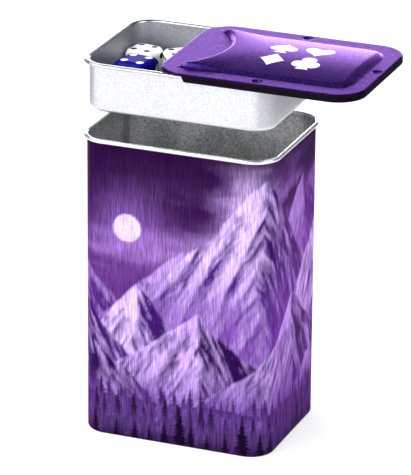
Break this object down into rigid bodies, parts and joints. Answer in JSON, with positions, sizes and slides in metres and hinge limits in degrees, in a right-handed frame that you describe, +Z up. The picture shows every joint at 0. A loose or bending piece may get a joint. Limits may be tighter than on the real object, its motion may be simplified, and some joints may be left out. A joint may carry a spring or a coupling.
{
  "type": "card deck tin",
  "caption": "Upright rounded sheet-metal tin for a card deck, with a lift-out dice tray in its mouth and a lid that slides along the tray's rim.",
  "frame": {"origin": "centre of the tin's flat underside", "axes": "+Z up out of the tin's mouth, X along the long side, the lid slides off towards +X, -Y is the printed front"},
  "size_m": [0.1111, 0.0612, 0.1527],
  "materials": {
    "printed_tin": "deep purple litho print over brushed tinplate, bare metal inside and on the rim",
    "bare_tinplate": "satin bare tinplate",
    "tray_tinplate": "bright satin tinplate, drawn and hemmed",
    "lacquered_lid": "purple lacquer with a fine grain",
    "white_die": "polished opaque white",
    "dark_pip": "dark pip paint",
    "blue_die": "polished deep blue",
    "white_pip": "white pip paint"
  },
  "bodies": {
    "tin": {"tin_body": "printed_tin", "tin_base": "bare_tinplate"},
    "tray": {"dice_tray": "tray_tinplate", "white_die_left": "white_die", "white_die_left_pips": "dark_pip", "blue_die": "blue_die", "blue_die_pips": "white_pip", "white_die_right": "white_die", "white_die_right_pips": "dark_pip"},
    "lid": {"slide_lid": "lacquered_lid"}
  },
  "joints": [
    {"name": "tray_lift", "type": "slide", "parent": "tin", "child": "tray", "axis": [0, 0, 1], "range_m": [-0.0272, 0.015]},
    {"name": "lid_slide", "type": "slide", "parent": "tray", "child": "lid", "axis": [1, 0, 0], "range_m": [-0.032, 0.023]}
  ]
}
